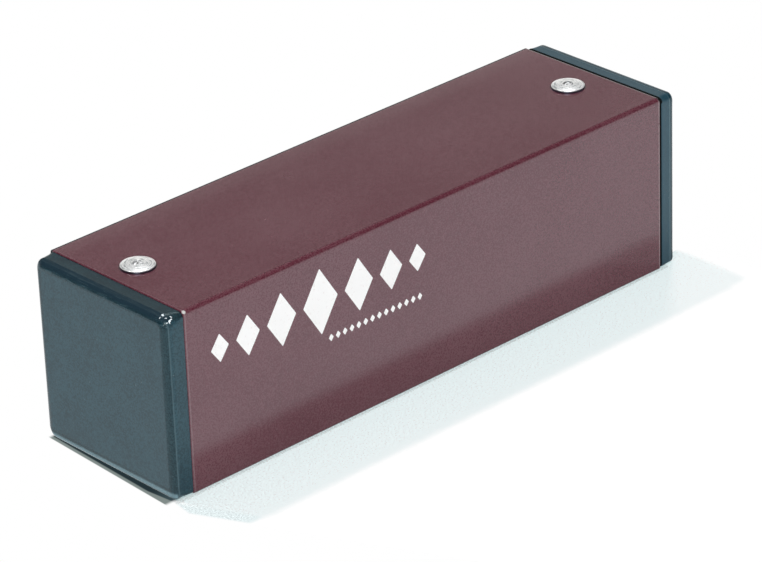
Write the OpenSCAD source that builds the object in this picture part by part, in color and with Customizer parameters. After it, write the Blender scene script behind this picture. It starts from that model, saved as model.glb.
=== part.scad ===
// Square metal shaker: a painted aluminium tube, closed by two riveted plastic end plugs,
// with loose steel shot inside.
// X runs along the tube, with the flanges' outer faces as far to the left as to the right of
// the origin. The printed face looks towards -Y, and the tube stands on z = 0.

/* [Tube] */
// Outer width of the square tube
tube_w = 45; // [40:0.5:60]
// Length of the tube between its cut ends
tube_l = 150; // [110:1:220]
// Wall thickness of the tube
tube_wall = 1.5; // [1:0.1:2.5]
// Outer radius of the tube's long edges
tube_edge_r = 1.1; // [0.4:0.1:1.4]
// Radius in the tube's inside corners
tube_inner_r = 0.5; // [0.3:0.1:1]

/* [End plugs] */
// How far each side of the flange lies inside the tube's outline
flange_inset = 0.1; // [0.1:0.1:1]
// Thickness of the flange outside the tube
flange_t = 5; // [4:0.1:8]
// Corner radius of the flange's outline
flange_corner_r = 2.4; // [2.3:0.1:5]
// Rounding between the flange's outer face and its sides
flange_fillet_r = 1.8; // [0.8:0.1:2.2]
// Plastic left behind the outer face, where the plug is cored out
plug_face_t = 2.6; // [1.5:0.1:3.8]
// Depth of the skirt inside the tube
skirt_depth = 16; // [14:0.5:25]
// Wall thickness of the skirt
skirt_wall = 2.2; // [1.5:0.1:4]
// Gap on each side between the skirt and the tube
skirt_fit = 0.05; // [0.02:0.01:0.2]
// Gap left between the tube's right end and the right flange
right_seat_gap = 0.8; // [0:0.1:1.2]

/* [Blind rivets] */
// Diameter of the rivet's shank
rivet_d = 4; // [3.2:0.1:4.8]
// Diameter of the rivet's domed head
head_d = 8; // [6.5:0.1:9.6]
// Height of the head above the tube
head_h = 0.95; // [0.75:0.05:1.5]
// Height of the upright rim around the head
head_rim = 0.5; // [0.3:0.05:0.6]
// Diameter of the bore that the mandrel sits in
mandrel_bore_d = 2.3; // [1.9:0.05:2.6]
// Radial gap between the mandrel and its bore
mandrel_fit = 0.05; // [0.02:0.01:0.15]
// Depth of the mandrel's broken end below the top of the head
break_depth = 0.35; // [0.2:0.05:0.7]
// Diameter of the bulb set behind the skirt
bulb_d = 5.8; // [5.2:0.1:7]
// Length of the bulb set behind the skirt
bulb_h = 3; // [2:0.1:5]
// Height of the mandrel's head below the bulb
mandrel_head_h = 1.6; // [1:0.1:2.5]
// Gap around each shank in its drilled holes
hole_fit = 0.05; // [0.02:0.01:0.2]
// Distance from the tube's left end to the left rivet
left_rivet_in = 7.9; // [6:0.1:12]
// Shift of the left rivet across the tube, away from the printed face
left_rivet_shift = 1.7; // [-4:0.1:4]
// Distance from the tube's right end to the right rivet
right_rivet_in = 9.6; // [6:0.1:12]
// Shift of the right rivet across the tube, away from the printed face
right_rivet_shift = -1.5; // [-4:0.1:4]

/* [Shot] */
// Diameter of each steel ball
shot_d = 4.5; // [3:0.25:7]
// Most lanes of balls side by side; fewer lie there if they don't fit
shot_lanes = 8; // [1:1:8]
// Balls lying in each lane along the tube
shot_per_lane = 6; // [2:1:6]
// Least distance that a lane can roll towards either plug
shot_travel = 20; // [5:1:22]
// Least gap between neighbouring balls
shot_gap = 0.5; // [0.4:0.1:1]
// Gap between the balls and the tube's floor
shot_clear = 0.15; // [0.1:0.05:0.3]

/* [Hidden] */
$fn = 96;
inner_w = tube_w - 2 * tube_wall;
flange_w = tube_w - 2 * flange_inset;
skirt_w = inner_w - 2 * skirt_fit;
skirt_corner_r = tube_inner_r + skirt_fit;
core_w = skirt_w - 2 * skirt_wall;
core_corner_r = 1;
core_depth = skirt_depth + flange_t - plug_face_t;
left_end_x = -(tube_l + right_seat_gap) / 2;
right_end_x = left_end_x + tube_l;
hole_d = rivet_d + 2 * hole_fit;
grip = tube_wall + skirt_fit + skirt_wall;
mandrel_d = mandrel_bore_d - 2 * mandrel_fit;
left_rivet_at = [left_end_x + left_rivet_in, left_rivet_shift];
right_rivet_at = [right_end_x - right_rivet_in, right_rivet_shift];
chamber_left = left_end_x + skirt_depth;
chamber_right = right_end_x + right_seat_gap - skirt_depth;
lane_pitch = shot_d + shot_gap;
lanes = min(shot_lanes, floor(inner_w / lane_pitch));
ball_pitch = (chamber_right - chamber_left - 2 * shot_travel + 2 * shot_gap) / shot_per_lane;
scatter = (ball_pitch - shot_d) / 2 - shot_gap;
scatter_turn = 137.5;
cut = 1;

PLUGS = ["left_end_plug", "right_end_plug"];
RIVETS = ["left_rivet", "right_rivet"];
MANDRELS = ["left_rivet_mandrel", "right_rivet_mandrel"];
SHOT = [for (lane = [1:lanes], ball = [1:shot_per_lane]) shot_name(lane, ball)];

function shot_name(lane, ball) = str("shot_", lane, "_", ball);

// Balls lie scattered along their lane, each clear of the next
function shot_x(lane, ball) =
    (ball - (shot_per_lane + 1) / 2) * ball_pitch
    + scatter * sin(scatter_turn * (lane * shot_per_lane + ball));

function shot_y(lane) = (lane - (lanes + 1) / 2) * lane_pitch;

// Square outline with round corners
module rounded_square(w, r) {
    square([w, w - 2 * r], center = true);
    square([w - 2 * r, w], center = true);
    for (x = [-1, 1], y = [-1, 1])
        translate([x, y] * (w / 2 - r)) circle(r);
}

// Extrudes an outline towards +X, from x = 0, about the tube's centre line
module along_x(length) {
    translate([0, 0, tube_w / 2]) rotate([90, 0, 90]) linear_extrude(length) children();
}

// Drilled hole for a rivet, down through the top wall and the skirt
module rivet_hole(at) {
    translate([at.x, at.y, tube_w - grip - cut]) cylinder(d = hole_d, h = grip + 2 * cut);
}

module tube_body() {
    color("#6f3540") difference() {
        translate([left_end_x, 0, 0]) along_x(tube_l) difference() {
            rounded_square(tube_w, tube_edge_r);
            rounded_square(inner_w, tube_inner_r);
        }
        rivet_hole(left_rivet_at);
        rivet_hole(right_rivet_at);
    }
}

// Quarter round of the flange's outline, revolved: one rounded corner of its outer face
module flange_corner() {
    rotate_extrude() {
        square([flange_corner_r - flange_fillet_r, flange_fillet_r]);
        intersection() {
            translate([flange_corner_r - flange_fillet_r, 0]) circle(flange_fillet_r);
            square([flange_corner_r, flange_fillet_r]);
        }
    }
}

// Flange lying on z = 0, with its outer face up
module flange() {
    straight_t = flange_t - flange_fillet_r;
    edge_l = flange_w - 2 * flange_corner_r;
    linear_extrude(straight_t) rounded_square(flange_w, flange_corner_r);
    linear_extrude(flange_t)
        rounded_square(flange_w - 2 * flange_fillet_r, flange_corner_r - flange_fillet_r);
    translate([0, 0, straight_t]) for (turn = [0:90:270]) rotate([0, 0, turn]) {
        translate([0, flange_w / 2 - flange_fillet_r, 0]) rotate([0, 90, 0])
            cylinder(r = flange_fillet_r, h = edge_l, center = true);
        translate([1, 1, 0] * (flange_w / 2 - flange_corner_r)) flange_corner();
    }
}

// Plug standing on its skirt, with the flange's seat at z = 0
module end_plug() {
    difference() {
        union() {
            flange();
            translate([0, 0, -skirt_depth]) linear_extrude(skirt_depth)
                rounded_square(skirt_w, skirt_corner_r);
        }
        translate([0, 0, -skirt_depth - cut]) linear_extrude(core_depth + cut)
            rounded_square(core_w, core_corner_r);
    }
}

module left_end_plug() {
    color("#3b4a50") difference() {
        translate([left_end_x, 0, tube_w / 2]) rotate([0, -90, 0]) end_plug();
        rivet_hole(left_rivet_at);
    }
}

module right_end_plug() {
    color("#3b4a50") difference() {
        translate([right_end_x + right_seat_gap, 0, tube_w / 2]) rotate([0, 90, 0]) end_plug();
        rivet_hole(right_rivet_at);
    }
}

// Half outline of the head: upright rim, arc of the dome, cut off flat at the mandrel's bore
module head_outline() {
    dome_h = head_h - head_rim;
    dome_r = (pow(head_d / 2, 2) + pow(dome_h, 2)) / (2 * dome_h);
    square([head_d / 2, head_rim]);
    intersection() {
        translate([0, head_h - dome_r]) circle(dome_r, $fn = 360);
        square([head_d / 2, head_h]);
    }
}

// Rivet as set: domed head on the tube, shank through both walls, bulb behind the skirt
module rivet(at) {
    color("#d8dadb") translate([at.x, at.y, tube_w]) difference() {
        union() {
            rotate_extrude() head_outline();
            translate([0, 0, -grip]) cylinder(d = rivet_d, h = grip);
            translate([0, 0, -grip - bulb_h]) cylinder(d = bulb_d, h = bulb_h);
        }
        translate([0, 0, -grip - bulb_h - cut])
            cylinder(d = mandrel_bore_d, h = grip + bulb_h + head_h + 2 * cut);
    }
}

// Broken steel mandrel left in the rivet, its head under the bulb
module mandrel(at) {
    stem_top = head_h - break_depth;
    color("#7d8084") translate([at.x, at.y, tube_w - grip - bulb_h]) {
        cylinder(d = mandrel_d, h = grip + bulb_h + stem_top);
        translate([0, 0, -mandrel_head_h]) cylinder(d = rivet_d, h = mandrel_head_h);
    }
}

module shot(lane, ball) {
    color("#9fa3a6") translate([shot_x(lane, ball), shot_y(lane), tube_wall + shot_clear + shot_d / 2])
        sphere(d = shot_d);
}

tube_body();
left_end_plug();
right_end_plug();
rivet(left_rivet_at);  // left_rivet
rivet(right_rivet_at);  // right_rivet
mandrel(left_rivet_at);  // left_rivet_mandrel
mandrel(right_rivet_at);  // right_rivet_mandrel
for (lane = [1:lanes], ball = [1:shot_per_lane])
    shot(lane, ball);
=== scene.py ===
import math
import bmesh
import bpy
from mathutils import Matrix, Vector, noise


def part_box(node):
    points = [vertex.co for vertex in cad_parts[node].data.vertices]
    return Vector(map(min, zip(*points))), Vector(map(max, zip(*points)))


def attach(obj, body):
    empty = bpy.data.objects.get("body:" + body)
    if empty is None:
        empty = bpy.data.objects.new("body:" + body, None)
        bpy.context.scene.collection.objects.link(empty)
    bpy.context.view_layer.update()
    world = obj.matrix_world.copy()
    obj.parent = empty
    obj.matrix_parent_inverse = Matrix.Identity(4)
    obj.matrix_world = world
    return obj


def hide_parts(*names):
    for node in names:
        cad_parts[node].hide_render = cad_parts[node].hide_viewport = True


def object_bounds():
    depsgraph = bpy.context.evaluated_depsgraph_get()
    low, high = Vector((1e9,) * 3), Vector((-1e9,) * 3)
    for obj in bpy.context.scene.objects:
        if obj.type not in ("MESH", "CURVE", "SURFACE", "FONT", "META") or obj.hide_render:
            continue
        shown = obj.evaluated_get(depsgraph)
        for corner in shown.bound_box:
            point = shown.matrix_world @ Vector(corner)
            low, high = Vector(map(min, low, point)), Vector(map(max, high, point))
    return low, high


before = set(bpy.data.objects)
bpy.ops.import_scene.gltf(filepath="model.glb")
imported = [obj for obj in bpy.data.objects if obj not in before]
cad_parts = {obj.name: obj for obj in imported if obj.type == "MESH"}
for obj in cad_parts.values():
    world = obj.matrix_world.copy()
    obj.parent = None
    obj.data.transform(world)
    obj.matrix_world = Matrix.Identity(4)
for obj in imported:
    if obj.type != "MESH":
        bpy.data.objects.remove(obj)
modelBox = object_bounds()
mm = 0.001

caseBody = "shaker_case"
tubeLow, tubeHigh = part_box("tube_body")
tubeHalf = (tubeHigh.y - tubeLow.y) / 2  # half the tube's width
middleZ = (tubeLow.z + tubeHigh.z) / 2  # height of the tube's centre line
topZ = tubeHigh.z
frontY = tubeLow.y  # the side that carries the ornament
plainWhite = (1.0, 1.0, 1.0)
plainBlack = (0.0, 0.0, 0.0)


class Wire:
    # one output of a shader node; arithmetic on it adds the nodes that work the sum out
    def __init__(self, tree, socket=None):
        self.tree = tree
        self.socket = socket

    def node(self, kind, settings=None, sockets=None, output=0):
        made = self.tree.nodes.new(kind)
        for name, value in (settings or {}).items():
            if name == "stops":
                setStops(made.color_ramp, value)
            else:
                setattr(made, name, value)
        for key, value in (sockets or {}).items():
            feed(self.tree, made.inputs[key], value)
        if output is None:
            return None
        if isinstance(output, tuple):
            return tuple(Wire(self.tree, made.outputs[key]) for key in output)
        return Wire(self.tree, made.outputs[output])

    def sum(self, operation, first, second):
        kind = "ShaderNodeVectorMath" if isSpatial(first) or isSpatial(second) else "ShaderNodeMath"
        return self.node(kind, {"operation": operation}, {0: first, 1: second})

    def __add__(self, other):
        return self.sum("ADD", self, other)

    def __radd__(self, other):
        return self.sum("ADD", other, self)

    def __sub__(self, other):
        return self.sum("SUBTRACT", self, other)

    def __rsub__(self, other):
        return self.sum("SUBTRACT", other, self)

    def __mul__(self, other):
        return self.sum("MULTIPLY", self, other)

    def __rmul__(self, other):
        return self.sum("MULTIPLY", other, self)

    def __truediv__(self, other):
        return self.sum("DIVIDE", self, other)

    def __rtruediv__(self, other):
        return self.sum("DIVIDE", other, self)

    def __abs__(self):
        return math1("ABSOLUTE", self)


def isSpatial(value):
    if isinstance(value, Wire):
        return value.socket.type in {"VECTOR", "RGBA"}
    return isinstance(value, tuple)


def feed(tree, socket, value):
    if isinstance(value, Wire):
        tree.links.new(value.socket, socket)
    elif socket.type == "RGBA":
        socket.default_value = (*value, 1.0) if isinstance(value, tuple) else (value, value, value, 1.0)
    elif socket.type == "VECTOR" and not isinstance(value, tuple):
        socket.default_value = (value, value, value)
    else:
        socket.default_value = value


def setStops(ramp, stops):
    while len(ramp.elements) < len(stops):
        ramp.elements.new(1.0)
    for element, (place, shade) in zip(ramp.elements, stops):
        element.position = place
        element.color = (shade, shade, shade, 1.0)


def blend(factor, low, high):
    # mixes two colours
    return factor.node("ShaderNodeMix", {"data_type": "RGBA"}, {0: factor, 6: low, 7: high}, 2)


def step(value, low, high):
    # 0 at low and 1 at high, with an eased slope between them
    return value.node("ShaderNodeMapRange", {"interpolation_type": "SMOOTHSTEP"},
                      {"Value": value, "From Min": low, "From Max": high})


def math1(operation, value, other=0.0):
    return value.node("ShaderNodeMath", {"operation": operation}, {0: value, 1: other})


def most(first, *others):
    # the largest of several values
    for other in others:
        first = math1("MAXIMUM", first, other)
    return first


def vector1(operation, value, output=0, other=plainBlack):
    return value.node("ShaderNodeVectorMath", {"operation": operation}, {0: value, 1: other}, output)


def length(value):
    return vector1("LENGTH", value, "Value")


def between(share, low, high):
    # low where the share is 0, and high where it is 1
    return low + share * (high - low)


def nearTop(z, start, full):
    # 0 and 1 at two depths below the tube's top
    return step(z, topZ - start, topZ - full)


def parts(spot):
    return spot.node("ShaderNodeSeparateXYZ", {}, {0: spot}, ("X", "Y", "Z"))


def grain(spot, lump, detail, roughness=0.5):
    # cloudy noise; the first value says how far across its lumps are
    return spot.node("ShaderNodeTexNoise", {}, {"Vector": spot, "Scale": 1 / lump, "Detail": detail,
                                                "Roughness": roughness})


def patches(spot, lump, detail, roughness, low, high):
    # such noise cut down to patches; "Patches" below list all five values, and "Grain" the first ones
    return step(grain(spot, lump, detail, roughness), low, high)


def bump(height):
    # height is in millimetres
    return height.node("ShaderNodeBump", {}, {"Strength": 1.0, "Distance": mm, "Height": height})


def newFinish(name):
    # a new material, and the place on its surface
    material = bpy.data.materials.new(name)
    material.use_nodes = True
    return material, Wire(material.node_tree).node("ShaderNodeTexCoord", output="Object")


def emptyBoard(owner):
    # clears a material or world, whose shader is then built from nothing
    owner.use_nodes = True
    owner.node_tree.nodes.clear()
    return Wire(owner.node_tree)


def coat(material, values):
    # values are fed to the surface shader's sockets, by name
    tree = material.node_tree
    shader = next(node for node in tree.nodes if node.type == "BSDF_PRINCIPLED")
    for name, value in values.items():
        feed(tree, shader.inputs[name], value)
    return material


def diffuse(board, colour):
    return board.node("ShaderNodeBsdfDiffuse", {}, {"Color": colour})


def mixShaders(factor, first, second):
    return factor.node("ShaderNodeMixShader", {}, {0: factor, 1: first, 2: second})


def overlay(material, factor, layer):
    # lays a second shader over a surface, in full where the factor is 1
    tree = material.node_tree
    output = next(node for node in tree.nodes if node.type == "OUTPUT_MATERIAL")
    surface = Wire(tree, output.inputs["Surface"].links[0].from_socket)
    feed(tree, output.inputs["Surface"], mixShaders(factor, surface, layer))
    return material


def shares(steps):
    return [k / steps for k in range(steps + 1)]


def quarterTurn(steps):
    return [math.pi / 2 * share for share in shares(steps)]


def squareRing(x, half, radius, guard, steps):
    # points round the tube's centre line: a square of 2 * half with round corners, at one x.
    # A guard point beside each corner keeps the flat sides flat in the shading.
    ring = []
    flat = half - radius
    for quarter in range(4):
        turn = Matrix.Rotation(quarter * math.pi / 2, 2)
        points = [(half, flat - guard)]
        points += [(flat + radius * math.cos(a), flat + radius * math.sin(a)) for a in quarterTurn(steps)]
        points += [(flat - guard, half)]
        for point in points:
            y, z = turn @ Vector(point)
            ring.append(Vector((x, y, middleZ + z)))
    return ring


def tighten(ring, half, radius, guard, corners):
    # gives corners of a square ring a smaller radius, each named by its side in Y and in Z
    reach = radius + guard / 2
    for sideY, sideZ, smaller in corners:
        for k, point in enumerate(ring):
            apex = Vector((point.x, sideY * half, middleZ + sideZ * half))
            if max(abs(point.y - apex.y), abs(point.z - apex.z)) < reach:
                ring[k] = apex + (point - apex) * min(1.0, smaller / radius)
    return ring


def loft(name, rings, closed):
    # skins successive rings with quads; closed joins the last ring to the first,
    # and otherwise the two end rings are filled
    mesh = bmesh.new()
    rows = [[mesh.verts.new(point) for point in ring] for ring in rings]
    pairs = list(zip(rows, rows[1:]))
    if closed:
        pairs.append((rows[-1], rows[0]))
    else:
        mesh.faces.new(rows[0])
        mesh.faces.new(rows[-1][::-1])
    for first, second in pairs:
        for k in range(len(first)):
            j = (k + 1) % len(first)
            mesh.faces.new((first[j], first[k], second[k], second[j]))
    return meshObject(name, mesh)


def meshObject(name, mesh):
    bmesh.ops.recalc_face_normals(mesh, faces=mesh.faces)
    data = bpy.data.meshes.new(name)
    mesh.to_mesh(data)
    mesh.free()
    piece = bpy.data.objects.new(name, data)
    bpy.context.scene.collection.objects.link(piece)
    smoothShade(data)
    return piece


def smoothShade(data, angle=32):
    data.shade_smooth()
    data.set_sharp_from_angle(angle=math.radians(angle))


def arc(centre, radius, start, end, steps):
    # points of a circular arc, angles in degrees
    turns = [math.radians(between(share, start, end)) for share in shares(steps)]
    return [(centre[0] + radius * math.cos(a), centre[1] + radius * math.sin(a)) for a in turns]


def roundRing(centre, radius, height, segments):
    turns = [2 * math.pi * k / segments for k in range(segments)]
    return [Vector((centre.x + radius * math.cos(a), centre.y + radius * math.sin(a), height))
            for a in turns]


def spin(name, outline, centre, segments):
    # turns a closed outline of (radius, height) points about the upright line through centre
    return loft(name, [roundRing(centre, r, centre.z + h, segments) for r, h in outline], True)


def drill(piece, centre):
    # cuts the rivet's hole down through the top wall
    mesh = bmesh.new()
    radius = drilling["diameter"] / 2
    bmesh.ops.create_cone(mesh, cap_ends=True, segments=drilling["segments"], radius1=radius,
                          radius2=radius, depth=drilling["depth"] * 2,
                          matrix=Matrix.Translation((centre.x, centre.y, topZ)))
    bit = meshObject("drillBit", mesh)
    cut = piece.modifiers.new("hole", "BOOLEAN")
    cut.operation = "DIFFERENCE"
    cut.solver = "EXACT"
    cut.object = bit
    graph = bpy.context.evaluated_depsgraph_get()
    shaped = bpy.data.meshes.new_from_object(piece.evaluated_get(graph))
    piece.modifiers.clear()
    piece.data = shaped
    smoothShade(shaped)
    bpy.data.objects.remove(bit)


def dress(piece, material, slotName, *replacedNodes):
    piece.data.materials.clear()
    piece.data.materials.append(material)
    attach(piece, caseBody)
    if replacedNodes:
        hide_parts(*replacedNodes)


drilling = {
    "diameter": 4.1 * mm,
    "depth": 8 * mm,
    "segments": 64,
}
rivetNames = ["left_rivet", "right_rivet"]
rivetCentres = [(low + high) / 2 for low, high in map(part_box, rivetNames)]

# painted tube, with cut and lightly deburred ends
tube = {
    "wall": 1.5 * mm,
    "edgeRadius": 1.1 * mm,
    "tightEdges": [(1, 1, 0.65 * mm), (-1, -1, 0.45 * mm)],  # rear top and front bottom
    "innerRadius": 0.5 * mm,
    "cutRounding": 0.2 * mm,
    "cutSteps": 4,
    "cornerSteps": 10,
    "guard": 0.3 * mm,
    "paint": (0.135, 0.042, 0.059),
    "paintDeep": (0.092, 0.012, 0.026),
    "pigmentGrain": (0.38 * mm, 1.0),
    "pigmentRange": (0.39, 0.61),
    "cloudGrain": (34 * mm, 2.0),
    "cloudShare": 0.25,
    "fleck": (0.24, 0.09, 0.12),
    "fleckPatches": (0.26 * mm, 1.0, 0.5, 0.68, 0.78),
    "fleckShare": 0.22,
    "thinPaint": (0.36, 0.27, 0.29),  # painted highlight along the cut edges, where the paint has also drawn back from them
    "thinFrom": 0.36 * mm,  # middle of that pale line, from the cut end
    "thinHalf": 0.26 * mm,
    "thinPatches": (1.6 * mm, 3.0, 0.5, 0.22, 0.50),
    "thinShare": (0.30, 0.62),  # at the left end and the right one
    "thinTopFade": (0.6, 0.9),  # share of it lost on the top
    # painted shade, round the rivets' heads and along the right end by the gap
    "dirt": (0.010, 0.006, 0.010),
    "dirtShare": 0.8,
    "dirtRange": (4.40 * mm, 4.05 * mm),  # a line of painted shade runs round each rivet
    "grimeRange": (0.50 * mm, 0.15 * mm),  # painted shade along the right end, on the top
    "chipShift": (0.45 * mm, 0.45 * mm, -0.35 * mm),  # painted glint, from the near upper corner
    "chipRange": (0.55 * mm, 0.30 * mm),
    "bareMetal": (0.62, 0.62, 0.61),
    "dull": (0.045, 0.045, 0.050),  # painted shade: the rear top edge is painted dark
    "dullRange": (0.95 * mm, 0.75 * mm),
    "gloss": 0.24,
    "thinGloss": 0.16,
    "smearGrain": (11 * mm, 4.0, 0.6),
    "smearStretch": (0.5, 1.0, 1.0),
    "smearGloss": 0.16,
    "coatGloss": 0.06,
    "peelGrain": (1.6 * mm, 1.0),  # orange peel
    "finePeelGrain": (0.32 * mm, 1.0),
    "finePeelShare": 0.3,
    "peelHeight": 0.0010,  # heights of bumps are in millimetres
    "sinkFrom": 14.5 * mm,  # the top falls away from here towards its rear edge
    "sinkRate": 0.0036,
    "insideRange": (0.7 * mm, 0.9 * mm),  # depth where the bare inside begins
    "insideGloss": 0.36,
    "drawnGrain": (0.35 * mm, 2.0),  # extrusion lines on the inside
    "drawnStretch": (0.02, 1.0, 1.0),
    "drawnGloss": 0.2,
    "drawnHeight": 0.004,
}


def tubeRings():
    inner = tubeHalf - tube["wall"]
    rounding = tube["cutRounding"]
    rings = []

    def ring(x, half, radius):
        edges = tube["tightEdges"] if half > inner else []
        points = squareRing(x, half, radius, tube["guard"], tube["cornerSteps"])
        rings.append(tighten(points, half, radius, tube["guard"], edges))

    def roundedEnd(x, inward):
        for a in quarterTurn(tube["cutSteps"])[::inward]:
            inset = rounding * (1 - math.sin(a))
            ring(x + inward * rounding * (1 - math.cos(a)), tubeHalf - inset, tube["edgeRadius"] - inset)

    left, right = tubeLow.x, tubeHigh.x
    ring(left, inner, tube["innerRadius"])
    roundedEnd(left, 1)
    for x in (left + rounding + tube["guard"], right - rounding - tube["guard"]):
        ring(x, tubeHalf, tube["edgeRadius"])
    roundedEnd(right, -1)
    ring(right, inner, tube["innerRadius"])
    return rings


def tubeFinish():
    material, spot = newFinish("tubePaint")
    x, y, z = parts(spot)
    onRight = step(x, -mm, mm)
    onTop = nearTop(z, tube["edgeRadius"], 0.0)
    inside = step(tubeHalf - most(abs(y), abs(z - middleZ)), *tube["insideRange"])
    cloud = grain(spot, *tube["cloudGrain"])
    pigment = between(tube["cloudShare"], grain(spot, *tube["pigmentGrain"]), cloud)
    colour = blend(step(pigment, *tube["pigmentRange"]), tube["paintDeep"], tube["paint"])
    fleck = patches(spot, *tube["fleckPatches"])
    colour = blend(fleck * tube["fleckShare"], colour, tube["fleck"])
    fromEnd = math1("MINIMUM", x - tubeLow.x, tubeHigh.x - x)
    # painted highlight: a pale line along each cut end, where the paint is thin too
    cutEdge = step(abs(fromEnd - tube["thinFrom"]), tube["thinHalf"], 0.0)
    cutEdge = cutEdge * patches(spot, *tube["thinPatches"])
    cutEdge = cutEdge * (1 - onTop * between(onRight, *tube["thinTopFade"]))
    colour = blend(cutEdge * between(onRight, *tube["thinShare"]), colour, tube["thinPaint"])
    # painted shade along the right end's top and round each rivet's head
    dirt = step(tubeHigh.x - x, *tube["grimeRange"]) * onTop
    for centre in rivetCentres:
        around = length((spot - (centre.x, centre.y, topZ)) * (1.0, 1.0, 0.0))
        dirt = most(dirt, step(around, *tube["dirtRange"]))
    colour = blend(dirt * tube["dirtShare"], colour, tube["dirt"])
    # painted glint at the near upper corner of the cut end, in the bare metal's colour
    fromGlint = length(spot - (tubeLow.x, frontY, topZ) - tube["chipShift"])
    colour = blend(step(fromGlint, *tube["chipRange"]), colour, tube["bareMetal"])
    drawn = grain(spot * tube["drawnStretch"], *tube["drawnGrain"])
    smear = grain(spot * tube["smearStretch"], *tube["smearGrain"])
    painted = tube["gloss"] + (smear - 0.5) * tube["smearGloss"] + cutEdge * tube["thinGloss"]
    bare = tube["insideGloss"] + drawn * tube["drawnGloss"]
    peel = grain(spot, *tube["peelGrain"]) + grain(spot, *tube["finePeelGrain"]) * tube["finePeelShare"]
    sunk = most(y - tube["sinkFrom"], 0.0) / mm
    height = between(inside, peel * tube["peelHeight"], drawn * tube["drawnHeight"])
    coat(material, {
        "Base Color": blend(inside, colour, tube["bareMetal"]),
        "Metallic": inside,
        "Roughness": between(inside, painted, bare),
        "Coat Weight": 1 - inside,
        "Coat Roughness": tube["coatGloss"],
        "Normal": bump(height - sunk * sunk * tube["sinkRate"]),
    })
    # painted shade along the rear top edge
    rear = nearTop(z, *tube["dullRange"]) * step(tubeHalf - y, *tube["dullRange"])
    return overlay(material, rear, diffuse(spot, tube["dull"]))


tubePiece = loft("tubeCase", tubeRings(), True)
for centre in rivetCentres:
    drill(tubePiece, centre)
dress(tubePiece, tubeFinish(), "tube_paint", "tube_body")
print("tube built:", len(tubePiece.data.polygons), "faces")

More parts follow.
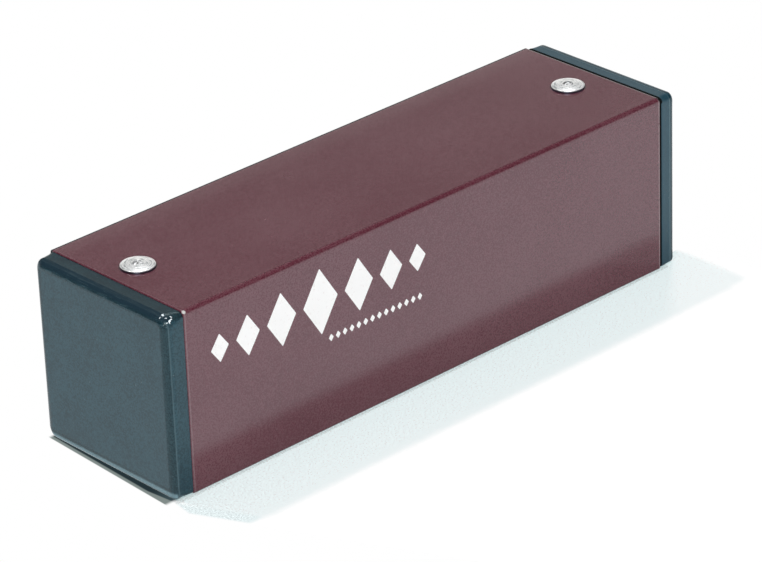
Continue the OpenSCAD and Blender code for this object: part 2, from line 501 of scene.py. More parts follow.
# moulded end plugs: flange outside, hollow skirt inside the tube
plug = {
    "seatInset": 0.13 * mm,  # how far the flange lies inside the tube's outline, where it seats
    "faceInset": 0.25 * mm,  # the same at the rounding, after the mould's draft
    "droop": 0.10 * mm,  # the plugs sit low in the tube
    "seatCorner": 1.4 * mm,
    "faceCorner": 3.0 * mm,
    "draftSteps": 5,
    "rimWidth": 2.3 * mm,  # rounding round the outer face, measured on the face
    "rimDepth": 2.2 * mm,  # and along the plug
    "rimSteps": 14,
    "left": {
        "corners": [(-1, -1, 0.9 * mm), (1, 1, 1.8 * mm)],  # the outline's tighter corners
        "brow": (1.9 * mm, 2.2 * mm),  # width and depth of the rounding along the upper edge
        "foot": (1.15 * mm, 1.0 * mm),  # and along the underside
        "footKeen": 0.6,  # how much tighter still that is in front
        "rearKeen": 0.6 * mm,  # and how much it is at the rear edge, by the top
    },
    "right": {
        "corners": [(-1, -1, 0.9 * mm), (1, 1, 1.6 * mm), (-1, 1, 1.8 * mm)],
        "brow": (1.4 * mm, 1.4 * mm),
        "foot": (1.8 * mm, 1.7 * mm),
        "footKeen": 0.0,
        "rearKeen": 0.0,
    },
    "keenRange": (5 * mm, 15 * mm),
    "edgePower": 8,  # how closely all these keep to their edges
    "seatAdvance": 0.15 * mm,  # the right plug sits a little nearer to the tube than its drawing
    "seatRounding": 0.15 * mm,
    "seatSteps": 3,
    "dish": 0.10 * mm,  # the outer face sinks a little as it cools
    "dishRings": 8,
    "faceThickness": 2.6 * mm,
    "skirtWall": 2.2 * mm,
    "skirtFit": 0.05 * mm,
    "skirtLead": 0.6 * mm,  # chamfer that leads the skirt in
    "coreRadius": 1.0 * mm,
    "cornerSteps": 12,
    "guard": 0.25 * mm,
    "black": (0.003, 0.027, 0.043),
    "blackPale": (0.017, 0.063, 0.088),
    "cloudGrain": (9 * mm, 4.0, 0.6),
    "speckGrain": (0.38 * mm, 1.0),
    "speckShare": 0.7,
    "speckRange": (0.37, 0.63),
    # painted light: the right plug is tinted paler teal than the left one
    "rightTint": (0.010, 0.064, 0.102),
    "rightShare": 0.6,
    "topRange": (1.7 * mm, 1.1 * mm),
    "topDark": (0.46, 0.12),  # painted shade on the plugs' tops, on the left plug and the right one
    "rimRange": (2.5 * mm, 1.7 * mm),  # the rounding is smoother than the faces
    "rimEdge": 0.2 * mm,
    # painted shade on the smooth rounding
    "rimDark": 0.4,
    "worn": (0.050, 0.088, 0.104),  # scuffs on the rounding, mostly on its upper run
    "wornShare": 0.5,
    "upperRange": (3.4 * mm, 1.2 * mm),
    "scrapePatches": (0.40 * mm, 3.0, 0.65, 0.48, 0.66),
    "scrapeStretch": (0.9, 0.10, 0.9),
    "scuffShare": (0.12, 0.70),
    "scuffHeight": 0.006,
    "crease": (0.100, 0.170, 0.200),  # painted highlight along a faint mould line on the rounding
    "creaseAt": (1.05 * mm, 2.15 * mm),  # from the outer face, on both plugs
    "creaseHalf": 0.24 * mm,
    "creaseRange": (0.6 * mm, 0.4 * mm),
    "creaseShare": (0.35, 0.90),
    "creaseTopFade": 0.7,
    "creaseHeight": 0.03,
    "footPale": (0.160, 0.265, 0.310),  # painted reflection of the floor along the left plug's lowest edge
    "footShare": 0.9,
    "footLineAt": 1.00 * mm,
    "footLineRange": (0.85 * mm, 0.15 * mm),
    "footDepthRange": (0.9 * mm, 0.5 * mm),
    "dust": (0.30, 0.34, 0.35),
    "dustPatches": (0.5 * mm, 1.0, 0.5, 0.76, 0.82),
    "dustShare": 0.35,
    "gapShade": 0.35 * mm,  # painted shade darkens the right plug's upper edge by the gap
    "gapEdge": 0.04 * mm,
    "rimShade": (0.016, 0.032, 0.046),  # painted shade: a dark run along the left plug's upper edge
    "shadeTopRange": (1.6 * mm, 1.1 * mm),
    "shadeDepthRange": (2.15 * mm, 1.75 * mm),
    "shadeShare": 0.8,
    "shadeScrape": 0.35,
    "nick": (0.85, 0.93, 0.97),  # painted glints at the near upper corner
    "nickShift": (1.3 * mm, 1.9 * mm, -1.1 * mm),
    "nickReach": (2.0 * mm, 1.4 * mm),
    "nickPatches": (0.80 * mm, 1.0, 0.5, 0.62, 0.68),
    "specularTint": (0.80, 1.0, 1.0),
    "satin": 0.38,
    "cloudGloss": 0.10,
    "rimGloss": 0.20,
    "skinWeight": 0.32,
    "skinGloss": 0.34,
    "skinFade": 0.6,
    "mouldGrain": (0.30 * mm, 2.0, 0.55),
    "mouldHeight": 0.0045,
    "mouldFade": 0.8,
    "sinkGrain": (7 * mm, 2.0),
    "sinkHeight": 0.020,
}
plugSeat = abs(tubeLow.x)  # both flanges start this far from the middle


def plugRings(nodeName, outward):
    low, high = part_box(nodeName)
    face, skirtEnd = (low.x, high.x) if outward < 0 else (high.x, low.x)
    own = plug["left"] if outward < 0 else plug["right"]
    seat = outward * (plugSeat - max(0, outward) * plug["seatAdvance"])
    half = tubeHalf - plug["faceInset"]
    corner = plug["faceCorner"]
    skirtHalf = tubeHalf - tube["wall"] - plug["skirtFit"]
    skirtRadius = tube["innerRadius"] + plug["skirtFit"]
    coreHalf = skirtHalf - plug["skirtWall"]
    width, depth = plug["rimWidth"], plug["rimDepth"]
    browWidth, browDepth = own["brow"]
    footWidth, footDepth = own["foot"]
    keenStart, keenFull = plug["keenRange"]
    rings = []

    def ring(x, halfWidth, radius, droop=plug["droop"]):
        guard = min(plug["guard"], (halfWidth - radius) / 2)
        points = squareRing(x, halfWidth, radius, guard, plug["cornerSteps"])
        points = tighten(points, halfWidth, radius, guard, own["corners"] if droop else [])
        rings.append([point - Vector((0, 0, droop)) for point in points])

    # outer face, from the middle of the dish out to the rounding
    for share in shares(plug["dishRings"])[1:]:
        sink = plug["dish"] * (1 - share * share) ** 2
        ring(face - outward * sink, (half - width) * share, (corner - width) * share)
    for a in quarterTurn(plug["rimSteps"]):
        across, along = 1 - math.sin(a), 1 - math.cos(a)
        inset = width * across
        ring(face - outward * depth * along, half - inset, corner - inset)
        # the rounding is tighter along the upper edge and the underside, and at the rear edge
        for point in rings[-1]:
            level = (point.z - middleZ + plug["droop"]) / (half - inset)
            brow = max(0.0, level) ** plug["edgePower"]
            foot = max(0.0, -level) ** plug["edgePower"]
            rear = max(0.0, point.y / (half - inset)) ** plug["edgePower"] * max(0.0, level)
            front = min(1.0, max(0.0, (-point.y - keenStart) / (keenFull - keenStart)))
            keen = 1 - own["footKeen"] * front
            point.x += outward * along * ((depth - footDepth * keen) * foot
                                          + (depth - browDepth) * brow + own["rearKeen"] * rear)
            point.y += across * own["rearKeen"] * rear
            point.z += across * ((width - browWidth) * brow - (width - footWidth * keen) * foot)
    # sides with the mould's draft, squarer where they meet the tube
    rounding = plug["seatRounding"]
    seatHalf = tubeHalf - plug["seatInset"]
    start = face - outward * (depth + plug["guard"])
    end = seat + outward * (rounding + plug["guard"])
    for share in shares(plug["draftSteps"]):
        ring(between(share, start, end), between(share, half, seatHalf),
             between(share, corner, plug["seatCorner"]))
    for a in quarterTurn(plug["seatSteps"]):
        inset = rounding * (1 - math.cos(a))
        ring(seat + outward * rounding * (1 - math.sin(a)), seatHalf - inset, plug["seatCorner"] - inset)
    # skirt, its lead-in chamfer and the core behind the face
    ring(seat, skirtHalf, skirtRadius, 0.0)
    ring(skirtEnd + outward * plug["skirtLead"], skirtHalf, skirtRadius, 0.0)
    ring(skirtEnd, skirtHalf - plug["skirtLead"] / 2, skirtRadius, 0.0)
    ring(skirtEnd, coreHalf, plug["coreRadius"], 0.0)
    ring(face - outward * plug["faceThickness"], coreHalf, plug["coreRadius"], 0.0)
    return rings


def plugFinish():
    material, spot = newFinish("plugPlastic")
    x, z = parts(spot)[::2]
    flat = tubeHalf - plug["faceInset"] - plug["faceCorner"]
    across = vector1("ABSOLUTE", (spot - (0.0, 0.0, middleZ)) * (0.0, 1.0, 1.0))
    fromSide = plug["faceCorner"] - length(vector1("MAXIMUM", across - (flat, flat, flat)))
    fromMiddle = abs(x)
    fromFace = modelBox[1].x - fromMiddle
    onRight = step(x, -mm, mm)
    onTop = nearTop(z, *plug["topRange"])
    # painted shade: black inside the tube and in the gap by the right plug
    seat = plugSeat + onRight * (onTop * plug["gapShade"] - plug["seatAdvance"])
    inGap = step(fromMiddle, seat + plug["gapEdge"], seat)
    pastCrease = fromFace - between(onRight, *plug["creaseAt"])
    onRim = step(fromSide, *plug["rimRange"]) * step(pastCrease, 0.0, -plug["rimEdge"])
    scrape = patches(spot * plug["scrapeStretch"], *plug["scrapePatches"])
    scuff = scrape * onRim * between(nearTop(z, *plug["upperRange"]), *plug["scuffShare"])
    smooth = onRim * (1 - scuff)
    cloud = grain(spot, *plug["cloudGrain"])
    speck = between(plug["speckShare"], cloud, grain(spot, *plug["speckGrain"]))
    colour = blend(step(speck, *plug["speckRange"]), plug["black"], plug["blackPale"])
    # painted light: the right plug is tinted paler
    colour = blend(onRight * plug["rightShare"], colour, plug["rightTint"])
    # painted shade on the plugs' tops and on their smooth rounding
    dark = most(smooth * plug["rimDark"], onTop * between(onRight, *plug["topDark"]))
    colour = blend(dark, colour, plainBlack)
    colour = blend(scuff * plug["wornShare"], colour, plug["worn"])
    # painted highlight along the mould line, fainter on the tops
    onCrease = step(abs(pastCrease), plug["creaseHalf"], 0.0) * step(fromSide, *plug["creaseRange"])
    onCrease = onCrease * (1 - onTop * plug["creaseTopFade"])
    colour = blend(onCrease * between(onRight, *plug["creaseShare"]), colour, plug["crease"])
    # painted reflection of the floor along the left plug's lowest edge
    footReflectionBand = step(abs(z - plug["footLineAt"]), *plug["footLineRange"])
    footReflectionBand = footReflectionBand * step(fromFace, *plug["footDepthRange"]) * (1 - onRight)
    colour = blend(footReflectionBand * plug["footShare"], colour, plug["footPale"])
    dust = patches(spot, *plug["dustPatches"])
    colour = blend(dust * plug["dustShare"], colour, plug["dust"])
    rough = plug["satin"] + (cloud - 0.5) * plug["cloudGloss"] + smooth * (plug["rimGloss"] - plug["satin"])
    moulded = grain(spot, *plug["mouldGrain"]) * plug["mouldHeight"] * (1 - smooth * plug["mouldFade"])
    sink = grain(spot, *plug["sinkGrain"]) * plug["sinkHeight"]
    height = moulded + sink + scuff * plug["scuffHeight"] + onCrease * plug["creaseHeight"]
    # painted shade along the left plug's upper edge
    shade = nearTop(z, *plug["shadeTopRange"]) * step(fromFace, *plug["shadeDepthRange"])
    shade = shade * (1 - onRight) * (plug["shadeShare"] - scrape * plug["shadeScrape"])
    # painted glints at the near upper corner
    fromCornerGlints = length(spot - (modelBox[0].x, frontY, topZ) - plug["nickShift"])
    nick = step(fromCornerGlints, *plug["nickReach"]) * patches(spot, *plug["nickPatches"])
    layer = mixShaders(nick, diffuse(spot, plug["rimShade"]), diffuse(spot, plug["nick"]))
    overlay(material, most(shade, nick), layer)
    bald = most(smooth * plug["skinFade"], onTop)
    return coat(material, {
        "Base Color": blend(inGap, colour, plainBlack),
        "Roughness": rough + inGap,
        "Specular Tint": plug["specularTint"],
        "Coat Weight": plug["skinWeight"] * (1 - bald) * (1 - inGap),
        "Coat Roughness": plug["skinGloss"],
        "Normal": bump(height),
    })


plugMaterial = plugFinish()
for name, outward, rivetCentre in zip(["left_end_plug", "right_end_plug"], [-1, 1], rivetCentres):
    plugPiece = loft(name.replace("_end_plug", "Plug"), plugRings(name, outward), False)
    drill(plugPiece, rivetCentre)
    dress(plugPiece, plugMaterial, "plug_plastic", name)
    print("plug built:", plugPiece.name, len(plugPiece.data.polygons), "faces")

# blind rivets as set: domed head, shank and bulb
rivet = {
    "headRadius": 4.0 * mm,
    "headHeight": 0.95 * mm,
    "rimHeight": 0.50 * mm,
    "rimRounding": 0.14 * mm,
    "rimArc": 62,  # degrees of the rounding between dome and rim
    "rimDrop": 0.7,
    "rimSteps": 5,
    "footSteps": 4,
    "boreRadius": 1.15 * mm,
    "boreEase": 0.05 * mm,
    "collarRadius": 1.42 * mm,  # raised lip that the setting tool's nose leaves round the bore
    "collarHeight": 0.03 * mm,
    "collarShoulder": 0.4,  # heights beside the lip, as shares of its own
    "collarDip": 0.7,
    "collarFoot": 0.10 * mm,
    "domeFrom": 0.22 * mm,  # the dome goes on from here, outside the lip
    "domeSteps": 14,
    "shankRadius": 2.0 * mm,
    "bulbRadius": 2.9 * mm,
    "bulbHeight": 3.0 * mm,
    "bulbRounding": 0.9 * mm,
    "bulbSteps": 6,
    "segments": 96,
    "aluminium": (0.98, 0.99, 0.99),
    "tarnish": (0.40, 0.44, 0.45),
    "tarnishShare": 0.9,
    "stain": (0.26, 0.29, 0.37),  # painted shade on the upright rim
    "stainRange": (0.04 * mm, 0.12 * mm),
    "metal": 0.60,  # the rest is a pale oxide film
    "polish": 0.24,
    "ringPitch": 0.62 * mm,  # spun marks on the head, which wander off their circles
    "ringHeight": 0.002,
    "ringGloss": 0.04,
    "driftGrain": (2.2 * mm, 2.0),
    "drift": 0.8 * mm,
    "streakGrain": (0.9 * mm, 4.0, 0.62),
    "streakRadius": 1.3 * mm,  # of the circle that the streaks' noise is read along
    "streakLift": 2.6,
    "streakShift": 0.01,
    "streakRange": (0.47, 0.64),
    "streakGloss": 0.18,
    "swirlGrain": (0.9 * mm, 4.0, 0.6),
    "swirlHeight": 0.012,
    "nickPatches": (0.22 * mm, 2.0, 0.5, 0.66, 0.78),
    "nickDepth": 0.005,
}


def rivetOutline(grip):
    rim = rivet["rimHeight"]
    rounding = rivet["rimRounding"]
    radius = rivet["headRadius"]
    rise = rivet["headHeight"] - rim
    domeRadius = (radius ** 2 + rise ** 2) / (2 * rise)
    bore = rivet["boreRadius"]
    collar = rivet["collarRadius"]
    lip = rivet["collarHeight"]
    shoulder = lip * rivet["collarShoulder"]

    def dome(r):
        return rivet["headHeight"] - domeRadius + math.sqrt(domeRadius ** 2 - r ** 2)

    outline = [(bore, dome(bore) - 2 * lip),
               (bore + rivet["boreEase"], dome(bore) + shoulder),
               ((bore + collar) / 2, dome(collar) + lip),
               (collar, dome(collar) + shoulder),
               (collar + rivet["collarFoot"], dome(collar) - lip * rivet["collarDip"])]
    end = radius - rounding
    for share in shares(rivet["domeSteps"]):
        r = between(share, collar + rivet["domeFrom"], end)
        outline.append((r, dome(r)))
    outline += arc((end, rim - rounding * rivet["rimDrop"]), rounding, rivet["rimArc"], 0, rivet["rimSteps"])
    outline += arc((end, rounding), rounding, 0, -90, rivet["footSteps"])
    shank = rivet["shankRadius"]
    curve = rivet["bulbRounding"]
    middle = rivet["bulbRadius"] - curve
    bulbEnd = -grip - rivet["bulbHeight"]
    outline += [(shank, 0.0), (shank, -grip)]
    outline += arc((middle, -grip - curve), curve, 90, 0, rivet["bulbSteps"])
    outline += arc((middle, bulbEnd + curve), curve, 0, -90, rivet["bulbSteps"])
    outline += [(bore, bulbEnd)]
    return outline


def rivetFinish(name, centre, seed):
    material, spot = newFinish(name)
    local = spot - (centre.x, centre.y, topZ)
    flat = local * (1.0, 1.0, 0.0)
    radius = length(flat)
    # noise read round the head instead of across it, so that its streaks run in circles
    lift = spot.node("ShaderNodeCombineXYZ", {}, {"Z": radius * rivet["streakLift"]})
    circling = vector1("NORMALIZE", flat) * rivet["streakRadius"] + lift
    streak = grain(circling + (seed * rivet["streakShift"], 0.0, 0.0), *rivet["streakGrain"])
    drift = grain(local, *rivet["driftGrain"]) * rivet["drift"]
    rings = math1("SINE", (radius + drift) * (2 * math.pi / rivet["ringPitch"]))
    swirl = grain(local, *rivet["swirlGrain"])
    tarnish = step(streak, *rivet["streakRange"]) * rivet["tarnishShare"]
    colour = blend(tarnish, rivet["aluminium"], rivet["tarnish"])
    # painted shade on the upright rim under the dome
    stain = step(rivet["rimHeight"] - parts(local)[2], *rivet["stainRange"])
    colour = blend(stain, colour, rivet["stain"])
    nick = patches(local, *rivet["nickPatches"])
    height = rings * rivet["ringHeight"] + (swirl + streak) * rivet["swirlHeight"]
    return coat(material, {
        "Base Color": colour,
        "Metallic": between(stain, rivet["metal"], 1.0),
        "Roughness": rivet["polish"] + rings * rivet["ringGloss"] + streak * rivet["streakGloss"],
        "Normal": bump(height - nick * rivet["nickDepth"]),
    })


# steel mandrels left in the rivets: stem broken off in the bore, round head under the bulb
mandrel = {
    "radius": 1.10 * mm,
    "neckRadius": 1.02 * mm,
    "neckLength": 0.45 * mm,
    "neckShoulder": 0.4,  # heights on the neck, as shares of its length
    "neckTop": 0.85,
    "endShare": 0.96,
    "lean": Vector((0.06, -0.15, 0)) * mm,  # the broken end leans to one side of the bore
    "breakDepth": 0.16 * mm,  # of the broken end below the top of the rivet's head
    "breakRough": 0.20 * mm,
    "breakLump": 0.5 * mm,
    "breakFall": 0.6,  # the broken end falls off towards its rim
    "rows": 6,
    "headRadius": 2.0 * mm,
    "headHeight": 1.6 * mm,
    "headFlat": 0.72,  # share of the head's radius that its ends keep
    "headSteps": 8,
    "segments": 40,
    "steel": (0.92, 0.93, 0.94),
    "steelDark": (0.05, 0.055, 0.06),
    "crystalGrain": (0.16 * mm, 3.0, 0.7),
    "crystalRange": (0.20, 0.45),
    "crystalGloss": 0.10,
    "pitPatches": (0.8 * mm, 1.0, 0.5, 0.46, 0.41),
    "gloss": 0.30,
    "brokenGloss": 0.12,
    "brokenRange": (0.9 * mm, 0.6 * mm),  # below the top of the rivet's head
    "steelHeight": 0.004,
    "brokenHeight": 0.034,
}


def mandrelPiece(name, centre, foot, seed):
    top = topZ + rivet["headHeight"] - mandrel["breakDepth"]
    radius, neckRadius, neckLength = mandrel["radius"], mandrel["neckRadius"], mandrel["neckLength"]
    neckStart = top - neckLength
    half = mandrel["headHeight"] / 2
    flat = mandrel["headFlat"]
    outline = []
    for share in shares(mandrel["headSteps"]):
        a = math.pi * (share - 0.5)
        outline.append((mandrel["headRadius"] * (flat + (1 - flat) * math.cos(a)),
                        foot + half + half * math.sin(a)))
    outline += [(radius, foot + 2 * half), (radius, neckStart),
                ((radius + neckRadius) / 2, neckStart + neckLength * mandrel["neckShoulder"]),
                (neckRadius, neckStart + neckLength * mandrel["neckTop"])]
    rings = []
    for r, h in outline:
        share = max(0.0, (h - neckStart) / neckLength)
        rings.append(roundRing(centre + mandrel["lean"] * share, r, h, mandrel["segments"]))
    for share in shares(mandrel["rows"])[:0:-1]:
        endRadius = neckRadius * mandrel["endShare"] * share
        ring = roundRing(centre + mandrel["lean"], endRadius, top, mandrel["segments"])
        for point in ring:
            place = Vector((point.x, point.y, seed * mm)) / mandrel["breakLump"]
            point.z += mandrel["breakRough"] * (noise.noise(place) - mandrel["breakFall"] * share ** 3)
        rings.append(ring)
    return loft(name, rings, False)


def mandrelFinish():
    material, spot = newFinish("mandrelSteel")
    below = topZ + rivet["headHeight"] - parts(spot)[2]
    broken = step(below, *mandrel["brokenRange"])
    crystals = grain(spot, *mandrel["crystalGrain"])
    pits = patches(spot, *mandrel["pitPatches"])
    bright = step(crystals, *mandrel["crystalRange"]) * (1 - pits)
    return coat(material, {
        "Base Color": blend(bright, mandrel["steelDark"], mandrel["steel"]),
        "Metallic": 1.0,
        "Roughness": mandrel["gloss"] + broken * mandrel["brokenGloss"] + crystals * mandrel["crystalGloss"],
        "Normal": bump(crystals * between(broken, mandrel["steelHeight"], mandrel["brokenHeight"])),
    })


gripLength = tube["wall"] + plug["skirtFit"] + plug["skirtWall"]
mandrelMaterial = mandrelFinish()
for seed, (name, centre) in enumerate(zip(rivetNames, rivetCentres), start=3):
    side = name.replace("_rivet", "")
    seat = Vector((centre.x, centre.y, topZ))
    head = spin(side + "Rivet", rivetOutline(gripLength), seat, rivet["segments"])
    dress(head, rivetFinish(side + "RivetAluminium", seat, seed), "rivet_aluminium", name)
    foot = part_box(name + "_mandrel")[0].z
    stem = mandrelPiece(side + "Mandrel", seat, foot, seed)
    dress(stem, mandrelMaterial, "mandrel_steel", name + "_mandrel")
    print("rivet built:", head.name, "and", stem.name)

# loose shot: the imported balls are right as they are, and get a polished steel finish
shot = {
    "steel": (0.58, 0.59, 0.60),
    "polish": 0.12,
    "film": (0.34, 0.32, 0.29),
    "filmPatches": (1.6 * mm, 4.0, 0.6, 0.48, 0.72),
    "filmGloss": 0.22,
    "filmHeight": 0.003,
    "scratchPatches": (0.20 * mm, 2.0, 0.5, 0.60, 0.72),
    "scratchStretch": (1.0, 0.08, 0.6),
    "scratchGloss": 0.10,
    "scratchHeight": 0.002,
}


def shotFinish():
    material, spot = newFinish("shotSteel")
    film = patches(spot, *shot["filmPatches"])
    scratch = patches(spot * shot["scratchStretch"], *shot["scratchPatches"])
    return coat(material, {
        "Base Color": blend(film, shot["steel"], shot["film"]),
        "Metallic": 1.0,
        "Roughness": shot["polish"] + film * shot["filmGloss"] + scratch * shot["scratchGloss"],
        "Normal": bump(scratch * shot["scratchHeight"] + film * shot["filmHeight"]),
    })


shotMaterial = shotFinish()
shotNodes = [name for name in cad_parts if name.startswith("shot_")]
for name in shotNodes:
    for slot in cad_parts[name].material_slots:
        slot.material = shotMaterial
print("shot finished:", len(shotNodes), "balls")

# printed ornament on the front: a chain of lozenges over a short row of small ones
ornament = {
    "left": -68.3 * mm,
    "right": -3.2 * mm,
    "height": 32.6 * mm,  # of the chain's middle line
    "count": 7,
    "widest": 10.4 * mm,
    "tallest": 16.4 * mm,
    "narrowest": 5.2 * mm,
    "lowest": 7.0 * mm,
    "tipRounding": 0.25 * mm,
    "tipSteps": 4,
    "beadLeft": -33.0 * mm,
    "beadRight": -5.4 * mm,
    "beadHeight": 22.6 * mm,
    "beadCount": 14,
    "beadWidth": 1.5 * mm,
    "beadTall": 1.9 * mm,
    "thickness": 0.03 * mm,
    "sunk": 0.01 * mm,
    "ink": (0.96, 0.96, 0.96),
    "inkThin": (0.86, 0.83, 0.83),
    "coverPatches": (0.7 * mm, 4.0, 0.6, 0.30, 0.42),
    "gloss": 0.42,
    "screenGrain": (0.12 * mm, 1.0),  # trace of the printing screen
    "screenGloss": 0.14,
    "screenHeight": 0.004,
}


def lozenge(mesh, x, z, width, height):
    # one printed lozenge with slightly round tips, standing proud of the front
    reach = (width / 2, height / 2)
    corners = [Vector((reach[0] * a, reach[1] * b)) for a, b in ((1, 0), (0, 1), (-1, 0), (0, -1))]
    outline = []
    for k, tip in enumerate(corners):
        rounding = ornament["tipRounding"]
        start = tip + (corners[k - 1] - tip).normalized() * rounding
        end = tip + (corners[(k + 1) % 4] - tip).normalized() * rounding
        for share in shares(ornament["tipSteps"]):
            outline.append(start.lerp(tip, share).lerp(tip.lerp(end, share), share))
    back, front = ([mesh.verts.new((x + point.x, y, z + point.y)) for point in outline]
                   for y in (frontY + ornament["sunk"], frontY - ornament["thickness"]))
    mesh.faces.new(back)
    mesh.faces.new(front[::-1])
    for k in range(len(outline)):
        j = (k + 1) % len(outline)
        mesh.faces.new((back[k], back[j], front[j], front[k]))


def ornamentPiece():
    mesh = bmesh.new()
    count = ornament["count"]
    middle = (count - 1) / 2
    sizes = []
    for k in range(count):
        share = 1 - abs(k - middle) / middle
        sizes.append((between(share, ornament["narrowest"], ornament["widest"]),
                      between(share, ornament["lowest"], ornament["tallest"])))
    span = ornament["right"] - ornament["left"]
    gap = (span - sum(width for width, height in sizes)) / (count - 1)
    x = ornament["left"]
    for width, height in sizes:
        lozenge(mesh, x + width / 2, ornament["height"], width, height)
        x += width + gap
    pitch = (ornament["beadRight"] - ornament["beadLeft"]) / (ornament["beadCount"] - 1)
    for k in range(ornament["beadCount"]):
        lozenge(mesh, ornament["beadLeft"] + k * pitch, ornament["beadHeight"],
                ornament["beadWidth"], ornament["beadTall"])
    return meshObject("ornament", mesh)


def inkFinish():
    material, spot = newFinish("printInk")
    cover = patches(spot, *ornament["coverPatches"])
    screen = grain(spot, *ornament["screenGrain"])
    return coat(material, {
        "Base Color": blend(cover, ornament["inkThin"], ornament["ink"]),
        "Roughness": ornament["gloss"] + screen * ornament["screenGloss"],
        "Normal": bump(screen * ornament["screenHeight"]),
    })


dress(ornamentPiece(), inkFinish(), "print_ink")
print("ornament printed:", ornament["count"], "lozenges and", ornament["beadCount"], "beads")

# white floor; it keeps the shadow, and is lifted to plain white everywhere else
paper = {
    "size": 6.0,
    "segments": 8,
    "colour": (0.86, 0.87, 0.87),
    "colourSeen": (0.64, 0.43, 0.41),  # how far light and shadow tell on the floor that is seen
    "glow": (0.389, 0.597, 0.615),
    "fadeRange": (0.30, 0.80),  # it turns plain white this far from the shaker
    "contactRight": 76 * mm,
    "contactRange": (0.4 * mm, 1.2 * mm),  # the dark line where the shaker meets the floor ends here
    "contactShade": 0.77,
    "speckleGrain": (0.40 * mm, 1.0),  # the paper's grain, which the shade brings out
    "speckle": 1.50,
    "speckleRange": (19 * mm, 15 * mm),
    "leftSlant": 0.485,  # slopes of the shadow's two ends
    "leftShift": 4.3 * mm,
    "leftRange": (-0.8 * mm, 0.4 * mm),
    "rightSlant": 0.25,
    "rightRange": (4.0 * mm, 6.0 * mm),
    "cornerSlant": 0.165,
    "cornerRange": (0.0, 0.9 * mm),
    "rearRange": (-4.0 * mm, -4.2 * mm),
    "shadowLevel": (0.790, 0.876, 0.886),  # beside its left end the shadow has one even tone
    "evenLeftRange": (-5.0 * mm, -3.0 * mm),
    "evenFrontRange": (19.5 * mm, 17.5 * mm),
    "evenSpeckle": 0.7,
    "endShade": (0.22, 0.26, 0.25),  # short shade at the foot of the left plug
    "endRange": (0.5 * mm, 0.85 * mm),
    "endSlope": 0.05,
    "endPivot": 15 * mm,
    "endStartRange": (-1.9 * mm, -1.5 * mm),
    "endRearRange": (0.8 * mm, 2.2 * mm),
    "endFrontRange": (-0.3 * mm, -1.7 * mm),
    "endGap": (0.020, 0.034, 0.040),  # and painted shade in the gap under its rounding
    "endGapFront": (0.042, 0.068, 0.078),
    "endGapRange": (-0.45 * mm, 0.0),
    "gapFrontRange": (-14 * mm, -20 * mm),
    "gapNarrowing": 0.15,
    "colourMirrored": (0.60, 0.61, 0.61),  # the floor that gloss mirrors, white along both sides
    "mirrorRange": (16.5 * mm, 10.5 * mm),
    "mirrorEndRange": (-2.4 * mm, -3.0 * mm),
    "mirrorWhite": 0.88,
    "mirrorTint": (0.96, 1.0, 1.02),
    "mirrorLeftRange": (-0.22, -0.42),  # far on the left it is darker
    "mirrorLeftDark": 0.9,
}


def isRay(board, *kinds):
    seen = board.node("ShaderNodeLightPath", output=tuple(f"Is {kind} Ray" for kind in kinds))
    total = seen[0]
    for more in seen[1:]:
        total = total + more
    return total


def showByRay(board, outputKind, plain, mirrored, seen):
    # the output: gloss and camera each see a shader of their own
    surface = mixShaders(isRay(board, "Glossy"), plain, mirrored)
    surface = mixShaders(isRay(board, "Camera", "Transmission"), surface, seen)
    board.node(outputKind, {}, {"Surface": surface}, None)


def emission(board, colour, strength=1.0):
    return board.node("ShaderNodeEmission", {}, {"Color": colour, "Strength": strength})


def endShade(board, y, pastEnd):
    # the shade at the foot of the left plug: dark gap, paler shade, and white beyond
    fromFoot = pastEnd - (paper["endPivot"] - y) * paper["endSlope"]
    gapFront = paper["gapFrontRange"]
    gap = blend(step(y, *gapFront), paper["endGap"], paper["endGapFront"])
    narrowing = most(gapFront[0] - y, 0.0) * paper["gapNarrowing"]
    colour = blend(step(fromFoot + narrowing, *paper["endGapRange"]), gap, paper["endShade"])
    outside = step(fromFoot, *paper["endRange"])
    return mixShaders(outside, emission(board, colour), emission(board, plainWhite))


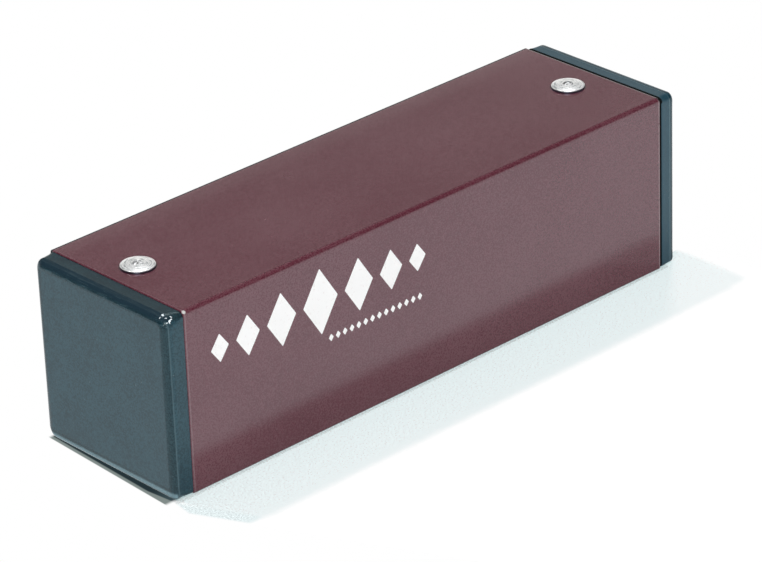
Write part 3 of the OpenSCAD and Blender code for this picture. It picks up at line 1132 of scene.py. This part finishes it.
def floorFinish():
    material = bpy.data.materials.new("floorPaper")
    board = emptyBoard(material)
    spot = board.node("ShaderNodeTexCoord", output="Object")
    x, y = parts(spot)[:2]
    pastEnd = modelBox[0].x - x
    inFront = frontY - y  # distances from the left end and from the front
    sideways = most(pastEnd, x - paper["contactRight"], 0.0)
    onward = most(inFront, y + frontY, 0.0)
    away = math1("SQRT", sideways * sideways + onward * onward)
    white = emission(board, plainWhite)
    contact = between(step(away, *paper["contactRange"]), paper["contactShade"], 1.0)
    speckle = (grain(spot, *paper["speckleGrain"]) - 0.5) * paper["speckle"]
    speckle = speckle * step(away, *paper["speckleRange"])
    shaded = board.node("ShaderNodeAddShader", {}, {
        0: diffuse(board, blend(contact, plainBlack, paper["colourSeen"])),
        1: emission(board, paper["glow"], contact + speckle)})
    # the shadow lies in front only, and beyond its two ends the floor is plain white
    leftEdge = pastEnd + inFront * paper["leftSlant"] - paper["leftShift"]
    rightEdge = x - modelBox[1].x - inFront * paper["rightSlant"]
    corner = pastEnd - inFront * paper["cornerSlant"]
    level = emission(board, paper["shadowLevel"], contact + speckle * paper["evenSpeckle"])
    even = step(leftEdge, *paper["evenLeftRange"]) * step(inFront, *paper["evenFrontRange"])
    shaded = mixShaders(even, shaded, level)
    outer = most(step(leftEdge, *paper["leftRange"]), step(rightEdge, *paper["rightRange"]),
                 step(corner, *paper["cornerRange"]), step(inFront, *paper["rearRange"]))
    shaded = mixShaders(outer, shaded, white)
    atEnd = step(pastEnd, *paper["endStartRange"]) * step(tubeHalf - y, *paper["endRearRange"])
    atEnd = atEnd * step(inFront, *paper["endFrontRange"])
    shaded = mixShaders(atEnd, shaded, endShade(board, y, pastEnd))
    seen = mixShaders(step(away, *paper["fadeRange"]), shaded, white)
    beside = step(abs(y) - tubeHalf, *paper["mirrorRange"])
    beside = beside * step(pastEnd, *paper["mirrorEndRange"])
    farLeft = step(x, *paper["mirrorLeftRange"])
    light = paper["mirrorWhite"] * (1 - farLeft * paper["mirrorLeftDark"])
    mirrored = mixShaders(beside, emission(board, paper["mirrorTint"], light),
                          diffuse(board, paper["colourMirrored"]))
    showByRay(board, "ShaderNodeOutputMaterial", diffuse(board, paper["colour"]), mirrored, seen)
    return material


def makeFloor():
    mesh = bmesh.new()
    segments = paper["segments"]
    bmesh.ops.create_grid(mesh, x_segments=segments, y_segments=segments, size=paper["size"] / 2)
    floor = meshObject("floor", mesh)
    floor.data.materials.append(floorFinish())


# studio: soft light from the front, and a white sweep behind that only gloss shows.
# Its ranges are parts of the unit vector in the direction that is looked in.
studio = {
    "frontLight": 0.80,
    "backLight": 0.35,
    "frontRange": (0.3, -0.5),
    "wall": 0.05,
    "sweep": [(0.0, 1.0), (0.30, 0.75), (0.36, 0.42), (0.40, 0.21), (0.46, 0.13), (0.52, 0.06), (0.62, 0.01)],
    "sweepTint": (1.0, 0.97, 0.93),
    "sweepRange": (-0.15, 0.45),
    "leftDark": 0.85,
    "leftRange": (-0.2, -0.6),
    "lowFront": 0.75,  # the front stays bright a little above the floor
    "lowFrontRange": (0.1, -0.2),
    "lowHeightRange": (0.30, 0.16),
    "ceiling": 0.03,
    "ceilingRange": (0.60, 0.75),
}


def makeWorld():
    world = bpy.data.worlds.new("studio")
    bpy.context.scene.world = world
    board = emptyBoard(world)
    x, y, z = parts(board.node("ShaderNodeTexCoord", output="Generated"))
    light = between(step(y, *studio["frontRange"]), studio["backLight"], studio["frontLight"])
    sweep = board.node("ShaderNodeValToRGB", {"stops": studio["sweep"]}, {0: z})
    behind = step(y, *studio["sweepRange"]) * (1 - step(x, *studio["leftRange"]) * studio["leftDark"])
    low = step(z, *studio["lowHeightRange"]) * step(y, *studio["lowFrontRange"]) * studio["lowFront"]
    ceiling = step(z, *studio["ceilingRange"]) * studio["ceiling"]
    mirrored = behind * sweep * studio["sweepTint"] + (low + ceiling + studio["wall"]) * plainWhite
    plain, glossy, white = (
        board.node("ShaderNodeBackground", {}, {"Color": colour, "Strength": strength})
        for colour, strength in ((plainWhite, light), (mirrored, 1.0), (plainWhite, 1.0)))
    showByRay(board, "ShaderNodeOutputWorld", plain, glossy, white)


# lamps: two far ones from behind, the left one stronger, and a weak soft one by the camera;
# all aim at the origin, and a far one's spread is in degrees
lamps = {
    "keyLight": {"kind": "SUN", "place": Vector((-5, 20, 45)).normalized(), "power": 1.0, "spread": 3.5},
    "sideLight": {"kind": "SUN", "place": Vector((22, 20, 45)).normalized(), "power": 0.45, "spread": 7.0},
    "fillBox": {"kind": "AREA", "place": Vector((-0.62, -0.50, 0.56)), "power": 2.4, "size": 0.30},
}


def makeLamps():
    for name, own in lamps.items():
        data = bpy.data.lights.new(name, own["kind"])
        data.energy = own["power"]
        if own["kind"] == "SUN":
            data.angle = math.radians(own["spread"])
        else:
            data.shape = "DISK"
            data.size = own["size"]
        lamp = bpy.data.objects.new(name, data)
        lamp.location = own["place"]
        lamp.rotation_euler = (-own["place"]).to_track_quat("-Z", "Y").to_euler()
        bpy.context.scene.collection.objects.link(lamp)


camera = {
    "place": Vector((-594.80, -649.69, 461.46)) * mm,
    "heading": 42.641,  # degrees from +Y towards +X
    "tilt": -26.794,
    "roll": -2.115,
    "lens": 200.51,
    "sensor": 36.0,
    "nearest": 0.05,
    "farthest": 50,
}


def makeCamera():
    data = bpy.data.cameras.new("camera")
    data.lens = camera["lens"]
    data.sensor_width = camera["sensor"]
    data.clip_start = camera["nearest"]
    data.clip_end = camera["farthest"]
    eye = bpy.data.objects.new("camera", data)
    turn = Matrix.Rotation(-math.radians(camera["heading"]), 4, "Z")
    tilt = Matrix.Rotation(math.radians(90 + camera["tilt"]), 4, "X")
    roll = Matrix.Rotation(math.radians(camera["roll"]), 4, "Z")
    eye.matrix_world = Matrix.Translation(camera["place"]) @ turn @ tilt @ roll
    bpy.context.scene.collection.objects.link(eye)
    bpy.context.scene.camera = eye


makeFloor()
makeWorld()
makeLamps()
makeCamera()
bpy.context.scene.view_settings.view_transform = "Standard"
print("stage ready")
